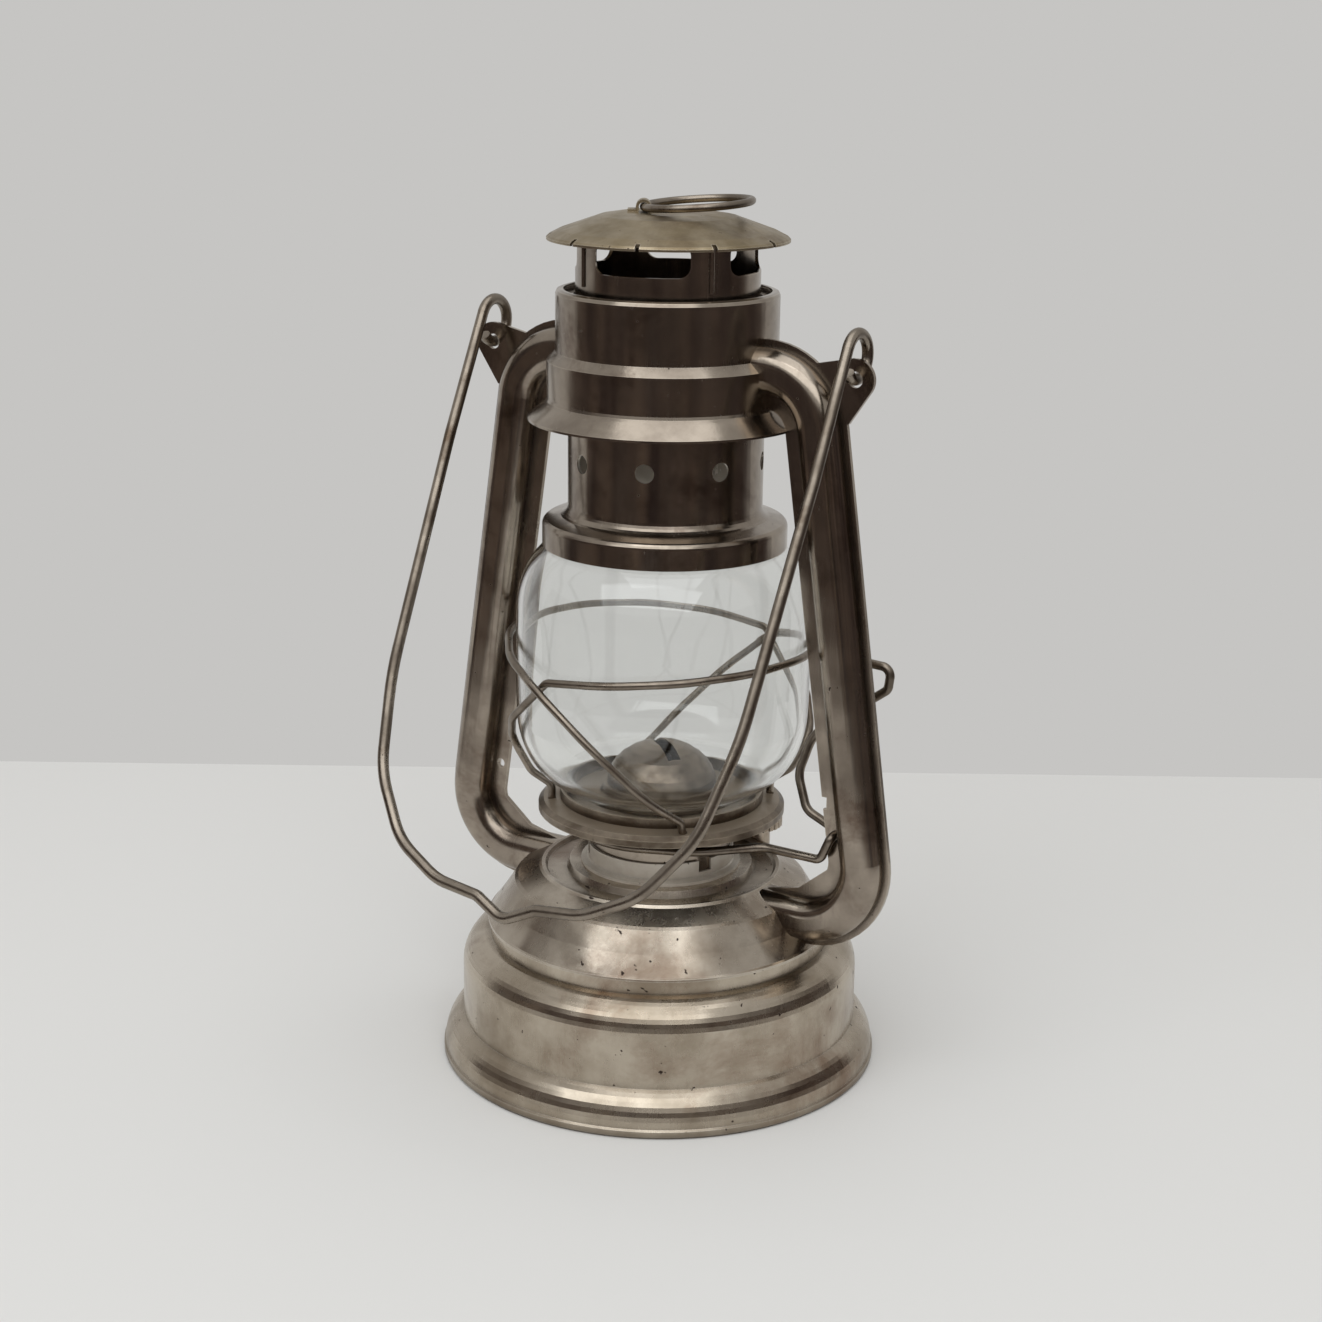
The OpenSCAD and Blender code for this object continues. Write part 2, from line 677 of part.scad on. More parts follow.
module wick_knob() {
    knob_r = 7.5;
    ridges = 24;
    color(bright) at_wick() translate([37.5, spindle_out, spindle_z]) rotate([0, 90, 0]) difference() {
        cylinder(h = 3, r = knob_r, $fn = 48);
        translate([0, 0, -1]) cylinder(h = 5, r = spindle_r, $fn = 24);
        for (k = [0:ridges - 1])
            rotate(360 / ridges * k) translate([knob_r + 0.2, 0, -1]) cylinder(h = 5, d = 1, $fn = 14);
    }
}

module wick() {
    color("#d8cfb8") at_wick() translate([-wick_w / 2, -wick_t / 2, 16])
        cube([wick_w, wick_t, cone_z + cone_h - 2.6 - 16]);
}

module filler_cap() {
    cap_h = 6.4;
    cap_out = 9.6;
    ridges = 28;
    color(plated) at_filler() translate([0, 0, base_z + 1]) difference() {
        cylinder(h = cap_h, r = cap_out, $fn = 56);
        translate([0, 0, -1]) cylinder(h = cap_h + 1 - sheet_t, r = filler_r + clear, $fn = 48);
        for (k = [0:ridges - 1])
            rotate(360 / ridges * k) translate([cap_out + 0.25, 0, -1]) cylinder(h = 8, d = 1.1, $fn = 14);
    }
}

module filler_gasket() {
    low = filler_z + clear;
    color("#3a3028") at_filler() washer(filler_r + clear, filler_r - 2, low, base_z + 6.6 - low);
}

// Centre line of the spring: a straight run of one wire diameter at each end of the coil
function coil_point(k, count) = let (
    i = min(max(k - 1, 0), count - 1),
    a = 360 * i / spring_rings,
    z = spring_low + spring_d / 2 + (spring_high - spring_low - spring_d) * i / (count - 1),
    run = k < 1 ? -spring_d : k > count ? spring_d : 0)
    [spring_r * cos(a) - run * sin(a), spring_r * sin(a) + run * cos(a), z];

module chimney_spring() {
    count = spring_turns * spring_rings + 1;
    total = count + 2;
    rise = (spring_high - spring_low - spring_d) / spring_turns;
    echo(least_gap = rise - spring_d);
    points = [for (k = [0:total - 1], s = [0:spring_sides - 1]) let (
        i = min(max(k - 1, 0), count - 1),
        a = 360 * i / spring_rings,
        b = 360 * s / spring_sides,
        c = coil_point(k, count))
        c + spring_d / 2 * [cos(b) * cos(a), cos(b) * sin(a), sin(b)]];
    walls = [for (k = [0:total - 2], s = [0:spring_sides - 1], t = [0, 1]) let (
        n = (s + 1) % spring_sides,
        a = k * spring_sides,
        b = a + spring_sides)
        t == 0 ? [a + s, a + n, b + n] : [a + s, b + n, b + s]];
    low_end = [for (s = [1:spring_sides - 2]) [0, s + 1, s]];
    high_end = [for (s = [1:spring_sides - 2]) let (e = (total - 1) * spring_sides) [e, e + s, e + s + 1]];
    color(bright) polyhedron(points, concat(walls, low_end, high_end), convexity = 8);
}

tank_shell();
tank_bottom();
tank_deck();
dome();
burner_collar();
burner_body();
wick_tube();
burner_cone();
filler_neck();
right_tube_front();
right_tube_back();
left_tube_front();
left_tube_back();
hood_drum();
hood_lid();
globe_plate();
plate_sleeve();
globe();
guard_wire_a();
guard_wire_b();
chimney_bell();
chimney_crown();
cap();
ring_staple();
chimney_spring();
ring();
bail();
lift_lever();
wick_spindle();
wick_knob();
wick();
filler_cap();
filler_gasket();
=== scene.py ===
import math
import bpy
from mathutils import Matrix, Vector


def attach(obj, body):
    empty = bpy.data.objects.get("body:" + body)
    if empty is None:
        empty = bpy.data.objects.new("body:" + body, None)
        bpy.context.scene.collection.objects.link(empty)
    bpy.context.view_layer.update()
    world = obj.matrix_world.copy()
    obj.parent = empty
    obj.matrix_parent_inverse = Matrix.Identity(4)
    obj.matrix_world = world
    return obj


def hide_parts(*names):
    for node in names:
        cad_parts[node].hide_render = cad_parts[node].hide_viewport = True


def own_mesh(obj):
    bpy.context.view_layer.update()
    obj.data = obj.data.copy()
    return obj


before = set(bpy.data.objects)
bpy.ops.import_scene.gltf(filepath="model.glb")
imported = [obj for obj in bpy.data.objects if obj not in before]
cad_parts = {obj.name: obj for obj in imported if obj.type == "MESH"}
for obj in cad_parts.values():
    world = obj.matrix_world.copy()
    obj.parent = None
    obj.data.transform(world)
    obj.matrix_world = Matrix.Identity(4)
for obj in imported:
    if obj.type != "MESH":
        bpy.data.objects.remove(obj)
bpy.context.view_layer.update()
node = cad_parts
print("frame loaded with", len(node), "pieces")

# Camera: where the photographer stood, found from the lantern's own circles
shot = {
    "azimuth": 31.83,        # degrees round from the front
    "away": 0.633,           # metres from the lantern's axis
    "height": 0.2989,        # metres above the floor
    "pitch": 16.02,          # degrees down
    "roll": 0.74,            # degrees
    "focalPixels": 2321.5,
    "framePixels": 1322,
    "sidePixels": 2.13,      # the picture's middle, off to the side
    "sensor": 36.0,          # mm
    "nearest": 0.01,         # metres, the closest that the camera sees
}


def placeCamera(s):
    turn, dip, roll = (math.radians(s[k]) for k in ("azimuth", "pitch", "roll"))
    ahead = Vector((-math.sin(turn) * math.cos(dip), math.cos(turn) * math.cos(dip), -math.sin(dip)))
    side = Vector((math.cos(turn), math.sin(turn), 0.0))
    up = side.cross(ahead)
    right = side * math.cos(roll) + up * math.sin(roll)
    top = up * math.cos(roll) - side * math.sin(roll)
    data = bpy.data.cameras.new("photoCamera")
    data.sensor_width = s["sensor"]
    data.lens = s["focalPixels"] / s["framePixels"] * s["sensor"]
    data.shift_x = -s["sidePixels"] / s["framePixels"]
    data.clip_start = s["nearest"]
    camera = bpy.data.objects.new("photoCamera", data)
    bpy.context.collection.objects.link(camera)
    spot = Vector((math.sin(turn) * s["away"], -math.cos(turn) * s["away"], s["height"]))
    turned = Matrix((right, top, -ahead)).transposed().to_4x4()
    camera.matrix_world = Matrix.Translation(spot) @ turned
    bpy.context.scene.camera = camera
    return ahead, side


ahead, side = placeCamera(shot)
level = Vector((ahead.x, ahead.y, 0.0)).normalized()
print("camera placed")


# An sRGB hex code as the linear colour that sockets take
def linear(hexCode):
    parts = [int(hexCode[i:i + 2], 16) / 255 for i in (1, 3, 5)]
    return tuple(p / 12.92 if p <= 0.04045 else ((p + 0.055) / 1.055) ** 2.4 for p in parts) + (1.0,)


# Adds one node: plain settings, values for sockets, links into sockets, and stops for a colour ramp
def addNode(tree, kind, settings=(), values=(), feeds=(), stops=()):
    made = tree.nodes.new(kind)
    for name, value in dict(settings).items():
        setattr(made, name, value)
    for socket, value in dict(values).items():
        made.inputs[socket].default_value = value
    for socket, source in dict(feeds).items():
        tree.links.new(source, made.inputs[socket])
    while stops and len(made.color_ramp.elements) < len(stops):
        made.color_ramp.elements.new(0.5)
    for k, (place, colour) in enumerate(stops):
        made.color_ramp.elements[k].position = place
        made.color_ramp.elements[k].color = colour
    return made


def startMaterial(name):
    made = bpy.data.materials.new(name)
    made.use_nodes = True
    tree = made.node_tree
    tree.nodes.clear()
    out = addNode(tree, "ShaderNodeOutputMaterial")
    return made, tree, out


def grey(v):
    return (v, v, v, 1.0)


def perMetre(mm):
    return 1000.0 / mm


# What all plated sheet shares: where each kind of wear starts and ends in its noise, and how strongly it acts
plateWear = {
    "cloudFrom": 0.36, "cloudTo": 0.62, "stainWide": 0.16, "pitWide": 0.03,
    "nearFloorHigh": 0.0045, "nearFloorLeft": 0.55,    # metres above the floor, and the share left there, so darker towards the floor
    "shadeAndGrimeFrom": 0.55, "shadeAndGrimeRagged": 0.3, "edgeFrom": 0.86, "edgeTo": 0.985, "wipeDrawn": 0.07,
    "insideWide": 0.0001, "dustFrom": 0.75, "dustTo": 0.97,
    "shineFrom": 0.3, "shineTo": 0.7, "lineRough": 0.08, "smearFrom": 0.35, "smearTo": 0.7,
    "smearLeast": -0.03, "shadeAndGrimeRough": 0.25, "pitRough": 0.35, "mattMetal": -0.6,
    "pitDeep": -1.5, "bumpDeep": 0.00005,
}


# Old nickel-plated sheet: a warm grey metal with soft mirror shine, cloudy where it dulled, with faint drawn
# lines, slightly wavy from hand work, with brown stains, grime and painted shade in the creases and small
# rust pits
def nickelPlate(name, look, wear=plateWear):
    made, tree, out = startMaterial(name)
    place = addNode(tree, "ShaderNodeTexCoord").outputs["Object"]
    cloud = addNode(tree, "ShaderNodeTexNoise", feeds={"Vector": place},
                    values={"Scale": perMetre(look["cloudMm"]), "Detail": 6.0, "Roughness": 0.6})
    tone = addNode(tree, "ShaderNodeValToRGB", feeds={"Fac": cloud.outputs["Fac"]},
                   stops=[(wear["cloudFrom"], linear(look["dull"])),
                          (wear["cloudTo"], linear(look["clean"]))])
    drawn = addNode(tree, "ShaderNodeMapping", values={"Scale": (1.0, 1.0, look["drawn"])},
                    feeds={"Vector": place})
    lines = addNode(tree, "ShaderNodeTexNoise", values={"Scale": perMetre(look["lineMm"]), "Detail": 3.0},
                    feeds={"Vector": drawn.outputs["Vector"]})
    stain = addNode(tree, "ShaderNodeTexNoise", feeds={"Vector": place}, values={
        "Scale": perMetre(look["stainMm"]), "Detail": 8.0, "Roughness": 0.7, "Distortion": 0.4})
    stainTo = look["stainFrom"] + wear["stainWide"]
    stained = addNode(tree, "ShaderNodeValToRGB", feeds={"Fac": stain.outputs["Fac"]},
                      stops=[(look["stainFrom"], grey(0.0)), (stainTo, grey(look["stainMost"]))])
    pits = addNode(tree, "ShaderNodeTexNoise", values={"Scale": perMetre(look["pitMm"]), "Detail": 2.0},
                   feeds={"Vector": place})
    pitTo = look["pitFrom"] + wear["pitWide"]
    pitted = addNode(tree, "ShaderNodeValToRGB", feeds={"Fac": pits.outputs["Fac"]},
                     stops=[(look["pitFrom"], grey(0.0)), (pitTo, grey(1.0))])
    # grime and painted shade from ambient occlusion in the creases, darker still in a band just above the
    # floor
    crease = addNode(tree, "ShaderNodeAmbientOcclusion", {"samples": 4, "only_local": True},
                     {"Distance": look["shadeAndGrimeMm"] / 1000})
    height = addNode(tree, "ShaderNodeSeparateXYZ", feeds={"Vector": place})
    nearFloor = addNode(tree, "ShaderNodeMapRange", feeds={"Value": height.outputs["Z"]}, values={
        "From Min": 0.0, "From Max": wear["nearFloorHigh"], "To Min": wear["nearFloorLeft"], "To Max": 1.0})
    corner = addNode(tree, "ShaderNodeMath", {"operation": "MULTIPLY"}, (),
                     {0: crease.outputs["AO"], 1: nearFloor.outputs["Result"]})
    ragged = addNode(tree, "ShaderNodeMath", {"operation": "MULTIPLY_ADD"}, {1: wear["shadeAndGrimeRagged"]},
                     {0: stain.outputs["Fac"], 2: corner.outputs["Value"]})
    shadeAndGrime = addNode(tree, "ShaderNodeMapRange", feeds={"Value": ragged.outputs["Value"]}, values={
        "From Min": wear["shadeAndGrimeFrom"], "From Max": 1.0, "To Min": look["shadeAndGrimeMost"], "To Max": 0.0})
    # edges that stand out are rubbed bare
    rounded = addNode(tree, "ShaderNodeBevel", {"samples": 3}, {"Radius": look["edgeMm"] / 1000})
    facing = addNode(tree, "ShaderNodeNewGeometry")
    turned = addNode(tree, "ShaderNodeVectorMath", {"operation": "DOT_PRODUCT"}, (),
                     {0: rounded.outputs["Normal"], 1: facing.outputs["Normal"]})
    edge = addNode(tree, "ShaderNodeMapRange", feeds={"Value": turned.outputs["Value"]}, values={
        "From Min": wear["edgeFrom"], "From Max": wear["edgeTo"], "To Min": look["edgeMost"], "To Max": 0.0})
    rubbed = addNode(tree, "ShaderNodeMath", {"operation": "MULTIPLY", "use_clamp": True}, (),
                     {0: edge.outputs["Result"], 1: crease.outputs["AO"]})
    wiped = addNode(tree, "ShaderNodeMapping", values={"Scale": (1.0, 1.0, wear["wipeDrawn"])},
                    feeds={"Vector": place})
    wipe = addNode(tree, "ShaderNodeTexNoise", feeds={"Vector": wiped.outputs["Vector"]},
                   values={"Scale": perMetre(look["wipeMm"]), "Detail": 4.0, "Roughness": 0.6})
    layers = [(stained.outputs["Color"], "stain"), (rubbed.outputs["Value"], "bare"),
              (shadeAndGrime.outputs["Result"], "shadeAndGrime"), (pitted.outputs["Color"], "rust")]
    mattLayers = []
    if "insideMm" in look:    # the inner wall, nearer the axis than this, matt and painted pale as painted light inside the bell
        flat = addNode(tree, "ShaderNodeVectorMath", {"operation": "MULTIPLY"},
                       {1: (1.0, 1.0, 0.0)}, {0: place})
        outFrom = addNode(tree, "ShaderNodeVectorMath", {"operation": "LENGTH"}, (),
                          {0: flat.outputs["Vector"]})
        insideTo = look["insideMm"] / 1000
        inner = addNode(tree, "ShaderNodeMapRange", feeds={"Value": outFrom.outputs["Value"]}, values={
            "From Min": insideTo - wear["insideWide"], "From Max": insideTo, "To Min": 1.0, "To Max": 0.0})
        layers.append((inner.outputs["Result"], "paintedLightInside"))
        mattLayers.append(inner.outputs["Result"])
    if "dust" in look:    # fine dust and soot that settled on level faces
        up = addNode(tree, "ShaderNodeSeparateXYZ", feeds={"Vector": facing.outputs["Normal"]})
        flatness = addNode(tree, "ShaderNodeMapRange", feeds={"Value": up.outputs["Z"]}, values={
            "From Min": wear["dustFrom"], "From Max": wear["dustTo"],
            "To Min": 0.0, "To Max": look["dustMost"]})
        settled = addNode(tree, "ShaderNodeMath", {"operation": "MULTIPLY_ADD", "use_clamp": True}, (), {
            0: flatness.outputs["Result"], 1: stain.outputs["Fac"], 2: flatness.outputs["Result"]})
        layers.append((settled.outputs["Value"], "dust"))
        mattLayers.append(settled.outputs["Value"])
    colour = tone.outputs["Color"]
    for share, tint in layers:
        colour = addNode(tree, "ShaderNodeMix", {"data_type": "RGBA"}, {"B": linear(look[tint])},
                         {"Factor": share, "A": colour}).outputs["Result"]
    low, high = look["rough"]
    shine = addNode(tree, "ShaderNodeMapRange", feeds={"Value": cloud.outputs["Fac"]}, values={
        "From Min": wear["shineFrom"], "From Max": wear["shineTo"], "To Min": high, "To Max": low})
    streak = addNode(tree, "ShaderNodeMath", {"operation": "MULTIPLY_ADD"}, {1: wear["lineRough"]},
                     {0: lines.outputs["Fac"], 2: shine.outputs["Result"]})
    smear = addNode(tree, "ShaderNodeMapRange", feeds={"Value": wipe.outputs["Fac"]}, values={
        "From Min": wear["smearFrom"], "From Max": wear["smearTo"],
        "To Min": wear["smearLeast"], "To Max": look["wipeMost"]})
    hazy = addNode(tree, "ShaderNodeMath", {"operation": "ADD"}, (),
                   {0: smear.outputs["Result"], 1: streak.outputs["Value"]})
    dirty = addNode(tree, "ShaderNodeMath", {"operation": "MULTIPLY_ADD"}, {1: wear["shadeAndGrimeRough"]},
                    {0: shadeAndGrime.outputs["Result"], 2: hazy.outputs["Value"]})
    rough = addNode(tree, "ShaderNodeMath", {"operation": "MULTIPLY_ADD", "use_clamp": True},
                    {1: wear["pitRough"]}, {0: pitted.outputs["Color"], 2: dirty.outputs["Value"]})
    matt = pitted.outputs["Color"]
    for layer in mattLayers:
        matt = addNode(tree, "ShaderNodeMath", {"operation": "MAXIMUM"}, (),
                       {0: matt, 1: layer}).outputs["Value"]
    metal = addNode(tree, "ShaderNodeMath", {"operation": "MULTIPLY_ADD", "use_clamp": True},
                    {1: wear["mattMetal"], 2: look.get("metal", 1.0)}, {0: matt})
    waves = addNode(tree, "ShaderNodeTexNoise", values={"Scale": perMetre(look["waveMm"]), "Detail": 1.0},
                    feeds={"Vector": place})
    wavy = addNode(tree, "ShaderNodeBump", values={"Strength": 1.0, "Distance": look["waveDeepMm"] / 1000},
                   feeds={"Height": waves.outputs["Fac"]})
    depth = addNode(tree, "ShaderNodeMath", {"operation": "MULTIPLY_ADD"}, {1: wear["pitDeep"]},
                    {0: pitted.outputs["Color"], 2: lines.outputs["Fac"]})
    bump = addNode(tree, "ShaderNodeBump", values={"Strength": look["bump"], "Distance": wear["bumpDeep"]},
                   feeds={"Height": depth.outputs["Value"], "Normal": wavy.outputs["Normal"]})
    skin = addNode(tree, "ShaderNodeBsdfPrincipled", feeds={
        "Base Color": colour, "Roughness": rough.outputs["Value"], "Metallic": metal.outputs["Value"],
        "Normal": bump.outputs["Normal"]})
    tree.links.new(skin.outputs["BSDF"], out.inputs["Surface"])
    return made


# Tank: nickel worn pale by handling, and browned on the dome above it
wornLook = {
    "clean": "#c0b5a5", "dull": "#998c7b", "stain": "#7d6350", "bare": "#ded7ca",
    "shadeAndGrime": "#3a2e26", "rust": "#33241a",
    "cloudMm": 26, "lineMm": 0.7, "drawn": 0.2, "stainMm": 38, "stainFrom": 0.54, "stainMost": 0.65,
    "wipeMm": 9, "wipeMost": 0.07, "pitMm": 2.6, "pitFrom": 0.715, "shadeAndGrimeMm": 2.5, "shadeAndGrimeMost": 0.8,
    "edgeMm": 0.5, "edgeMost": 0.7, "rough": (0.14, 0.29), "waveMm": 17, "waveDeepMm": 0.35, "bump": 0.12}
wornPlate = nickelPlate("wornNickelPlate", wornLook)
brownedPlate = nickelPlate("brownedNickelPlate", dict(
    wornLook, clean="#bfb5a7", dull="#94887a", stain="#6a4f3d", stainFrom=0.5))

# Tubes, hood and chimney: darker tarnished nickel, with the inside of the bell matt and painted pale as
# painted light
tarnishedLook = {
    "clean": "#a59a8d", "dull": "#84796e", "stain": "#5a463a", "bare": "#c9bfb0",
    "shadeAndGrime": "#2a211c", "rust": "#33251c",
    "cloudMm": 20, "lineMm": 0.6, "drawn": 0.03, "stainMm": 30, "stainFrom": 0.52, "stainMost": 0.75,
    "wipeMm": 8, "wipeMost": 0.06, "pitMm": 1.8, "pitFrom": 0.745, "shadeAndGrimeMm": 2.5, "shadeAndGrimeMost": 0.85,
    "edgeMm": 0.5, "edgeMost": 0.8, "rough": (0.11, 0.21), "waveMm": 16, "waveDeepMm": 0.3, "bump": 0.16}
tarnishedPlate = nickelPlate("tarnishedNickelPlate", tarnishedLook)
paintedLightInsidePlate = nickelPlate("tarnishedNickelPaintedLightInside", dict(tarnishedLook, paintedLightInside="#b9b1a6", insideMm=26.9))

# Cap: dull yellowed nickel
dullPlate = nickelPlate("dullNickelPlate", {
    "clean": "#a5977f", "dull": "#87795f", "stain": "#6b5a46", "bare": "#d3c8b4",
    "shadeAndGrime": "#3a2e24", "rust": "#3d2c20",
    "cloudMm": 12, "lineMm": 0.6, "drawn": 0.5, "stainMm": 20, "stainFrom": 0.5, "stainMost": 0.7,
    "wipeMm": 6, "wipeMost": 0.06, "pitMm": 1.5, "pitFrom": 0.73, "shadeAndGrimeMm": 2.0, "shadeAndGrimeMost": 0.8,
    "edgeMm": 0.6, "edgeMost": 0.9, "rough": (0.26, 0.42), "waveMm": 8, "waveDeepMm": 0.25, "bump": 0.4})

# Globe plate and flame cone: nickel dulled by heat, with settled dust
heatedPlate = nickelPlate("heatDulledNickelPlate", {
    "clean": "#8d8173", "dull": "#6f6457", "stain": "#4d4034", "bare": "#b7ab99",
    "shadeAndGrime": "#2b221b", "rust": "#33261c",
    "cloudMm": 9, "lineMm": 0.6, "drawn": 0.5, "stainMm": 12, "stainFrom": 0.48, "stainMost": 0.75,
    "wipeMm": 5, "wipeMost": 0.06, "pitMm": 1.5, "pitFrom": 0.73, "shadeAndGrimeMm": 2.0, "shadeAndGrimeMost": 0.85,
    "edgeMm": 0.5, "edgeMost": 0.8, "rough": (0.24, 0.38), "waveMm": 8, "waveDeepMm": 0.25, "bump": 0.3,
    "dust": "#8c7e6d", "dustMost": 0.6})

# Burner collar: pale satin nickel, half matt, its pale colour a painted sheen in place of the bright
# reflection it shows
paintedSheenSatinPlate = nickelPlate("paintedSheenSatinNickel", {
    "clean": "#e0d9ce", "dull": "#c9bfb1", "stain": "#9a8873", "bare": "#e8e2d8",
    "shadeAndGrime": "#4a3b2e", "rust": "#4a3728",
    "cloudMm": 12, "lineMm": 0.5, "drawn": 0.2, "stainMm": 14, "stainFrom": 0.6, "stainMost": 0.5,
    "wipeMm": 5, "wipeMost": 0.08, "pitMm": 1.8, "pitFrom": 0.72, "shadeAndGrimeMm": 1.0, "shadeAndGrimeMost": 0.6,
    "edgeMm": 0.4, "edgeMost": 0.6, "rough": (0.3, 0.42), "waveMm": 9, "waveDeepMm": 0.2, "bump": 0.15,
    "metal": 0.5})

# Knob, spindle and wick tube: nickel that kept its shine
brightPlate = nickelPlate("brightNickelPlate", {
    "clean": "#d8cfc1", "dull": "#baaf9f", "stain": "#8a7762", "bare": "#e4ddd0",
    "shadeAndGrime": "#403226", "rust": "#4a3728",
    "cloudMm": 14, "lineMm": 0.5, "drawn": 0.2, "stainMm": 18, "stainFrom": 0.58, "stainMost": 0.6,
    "wipeMm": 5, "wipeMost": 0.1, "pitMm": 1.8, "pitFrom": 0.74, "shadeAndGrimeMm": 1.5, "shadeAndGrimeMost": 0.7,
    "edgeMm": 0.4, "edgeMost": 0.6, "rough": (0.1, 0.24), "waveMm": 9, "waveDeepMm": 0.2, "bump": 0.15})

# Bail, lever, ring and guard wires: tarnished steel wire
wirePlate = nickelPlate("tarnishedSteelWire", {
    "clean": "#958b7f", "dull": "#776d62", "stain": "#564638", "bare": "#b0a698",
    "shadeAndGrime": "#2f251e", "rust": "#38291f",
    "cloudMm": 12, "lineMm": 0.5, "drawn": 0.2, "stainMm": 16, "stainFrom": 0.54, "stainMost": 0.8,
    "wipeMm": 4, "wipeMost": 0.1, "pitMm": 1.6, "pitFrom": 0.735, "shadeAndGrimeMm": 1.0, "shadeAndGrimeMost": 0.6,
    "edgeMm": 0.2, "edgeMost": 0.3, "rough": (0.18, 0.34), "waveMm": 6, "waveDeepMm": 0.1, "bump": 0.25})


# Blown clear glass: smooth and colourless, slightly rippled, a breath of dust low down
def blownGlass(name, look):
    made, tree, out = startMaterial(name)
    place = addNode(tree, "ShaderNodeTexCoord").outputs["Object"]
    height = addNode(tree, "ShaderNodeSeparateXYZ", feeds={"Vector": place})
    low = addNode(tree, "ShaderNodeMapRange", feeds={"Value": height.outputs["Z"]}, values={
        "From Min": look["dustLow"], "From Max": look["dustHigh"], "To Min": look["dustMost"], "To Max": 0.0})
    cloud = addNode(tree, "ShaderNodeTexNoise", values={"Scale": perMetre(look["dustMm"]), "Detail": 5.0},
                    feeds={"Vector": place})
    dust = addNode(tree, "ShaderNodeMath", {"operation": "MULTIPLY"}, (),
                   {0: low.outputs["Result"], 1: cloud.outputs["Fac"]})
    ripple = addNode(tree, "ShaderNodeTexNoise", values={"Scale": perMetre(look["rippleMm"]), "Detail": 0.0},
                     feeds={"Vector": place})
    uneven = addNode(tree, "ShaderNodeBump", feeds={"Height": ripple.outputs["Fac"]},
                     values={"Strength": 1.0, "Distance": look["rippleDeepMm"] / 1000})
    skin = addNode(tree, "ShaderNodeBsdfPrincipled",
                   values={"Base Color": linear(look["tint"]), "IOR": 1.5, "Transmission Weight": 1.0},
                   feeds={"Roughness": dust.outputs["Value"], "Normal": uneven.outputs["Normal"]})
    tree.links.new(skin.outputs["BSDF"], out.inputs["Surface"])
    return made


clearGlass = blownGlass("blownClearGlass", {
    "tint": "#fbfcfb", "dustLow": 0.078, "dustHigh": 0.1, "dustMost": 0.35, "dustMm": 9,
    "rippleMm": 22, "rippleDeepMm": 0.25})


# Woven cotton tape: matt cream thread in a plain weave, burnt black at the trimmed end
def wovenCotton(name, look):
    made, tree, out = startMaterial(name)
    place = addNode(tree, "ShaderNodeTexCoord").outputs["Object"]
    laid = addNode(tree, "ShaderNodeMapping", {"vector_type": "TEXTURE"},
                   {"Rotation": (0.0, 0.0, math.radians(look["turn"]))}, {"Vector": place})
    # a wave repeats each 0.314 of its scaled length, so its scale is worked out from the thread
    threads = perMetre(look["threadMm"]) * 0.314
    warp, weft = (addNode(tree, "ShaderNodeTexWave", {"bands_direction": way}, {"Scale": threads},
                          {"Vector": laid.outputs["Vector"]}) for way in "XZ")
    weave = addNode(tree, "ShaderNodeMath", {"operation": "MULTIPLY"}, (),
                    {0: warp.outputs["Fac"], 1: weft.outputs["Fac"]})
    fibre = addNode(tree, "ShaderNodeTexNoise", values={"Scale": perMetre(look["fibreMm"]), "Detail": 4.0},
                    feeds={"Vector": place})
    height = addNode(tree, "ShaderNodeSeparateXYZ", feeds={"Vector": place})
    ragged = addNode(tree, "ShaderNodeMath", {"operation": "MULTIPLY_ADD"}, {1: look["burnRagged"]},
                     {0: fibre.outputs["Fac"], 2: height.outputs["Z"]})
    burnt = addNode(tree, "ShaderNodeMapRange", feeds={"Value": ragged.outputs["Value"]},
                    values={"From Min": look["burnFrom"], "From Max": look["burnTo"]})
    tone = addNode(tree, "ShaderNodeValToRGB", feeds={"Fac": burnt.outputs["Result"]}, stops=[
        (0.0, linear(look["cream"])), (look["singedAt"], linear(look["singed"])),
        (look["charAt"], linear(look["char"]))])
    shade = addNode(tree, "ShaderNodeMapRange", values={"To Min": look["weaveShade"], "To Max": 1.0},
                    feeds={"Value": weave.outputs["Value"]})
    colour = addNode(tree, "ShaderNodeMix", {"data_type": "RGBA", "blend_type": "MULTIPLY"}, {"Factor": 1.0},
                     {"A": tone.outputs["Color"], "B": shade.outputs["Result"]})
    bump = addNode(tree, "ShaderNodeBump", values={"Strength": 0.8, "Distance": look["weaveDeep"]},
                   feeds={"Height": weave.outputs["Value"]})
    skin = addNode(tree, "ShaderNodeBsdfPrincipled", values={"Roughness": 0.92},
                   feeds={"Base Color": colour.outputs["Result"], "Normal": bump.outputs["Normal"]})
    tree.links.new(skin.outputs["BSDF"], out.inputs["Surface"])
    return made


